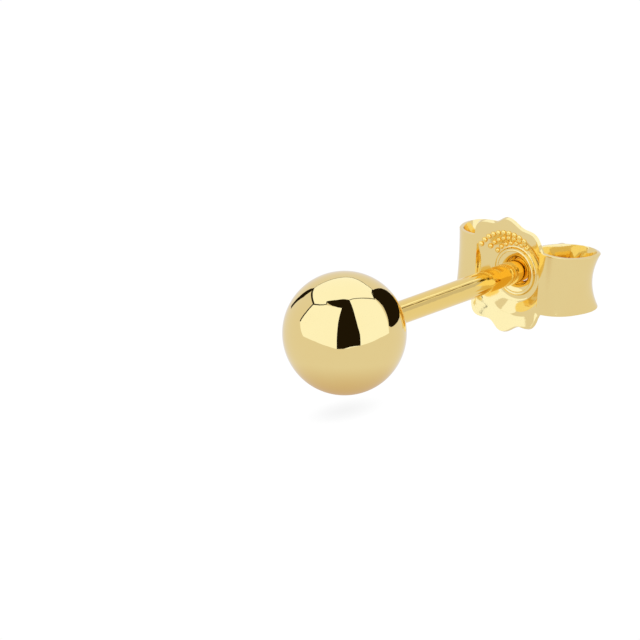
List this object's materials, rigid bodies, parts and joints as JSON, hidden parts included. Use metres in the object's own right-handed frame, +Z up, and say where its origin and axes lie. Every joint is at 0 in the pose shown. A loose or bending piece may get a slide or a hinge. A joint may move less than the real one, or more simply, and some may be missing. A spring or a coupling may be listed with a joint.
{
  "type": "ball stud earring",
  "caption": "Stud earring: a polished gold ball on a straight post, with a butterfly clutch that slides on the post behind the earlobe.",
  "frame": {"origin": "middle of the object's outline on the surface it lies on, at rest", "axes": "+Y along the post, from the ball to the clutch; +Z up; +X across the clutch"},
  "size_m": [0.0056, 0.0138, 0.004],
  "materials": {
    "mirror_gold": "pale yellow gold, polished to a mirror",
    "clutch_gold": "pale yellow gold sheet, pressed and polished"
  },
  "bodies": {
    "stud": {"ball_stud": "mirror_gold"},
    "clutch": {"butterfly_clutch": "clutch_gold"}
  },
  "joints": [
    {"name": "clutch_slide", "type": "slide", "parent": "stud", "child": "clutch", "axis": [0, 1, -0.0044], "range_m": [-0.0067, 0.0036]}
  ]
}
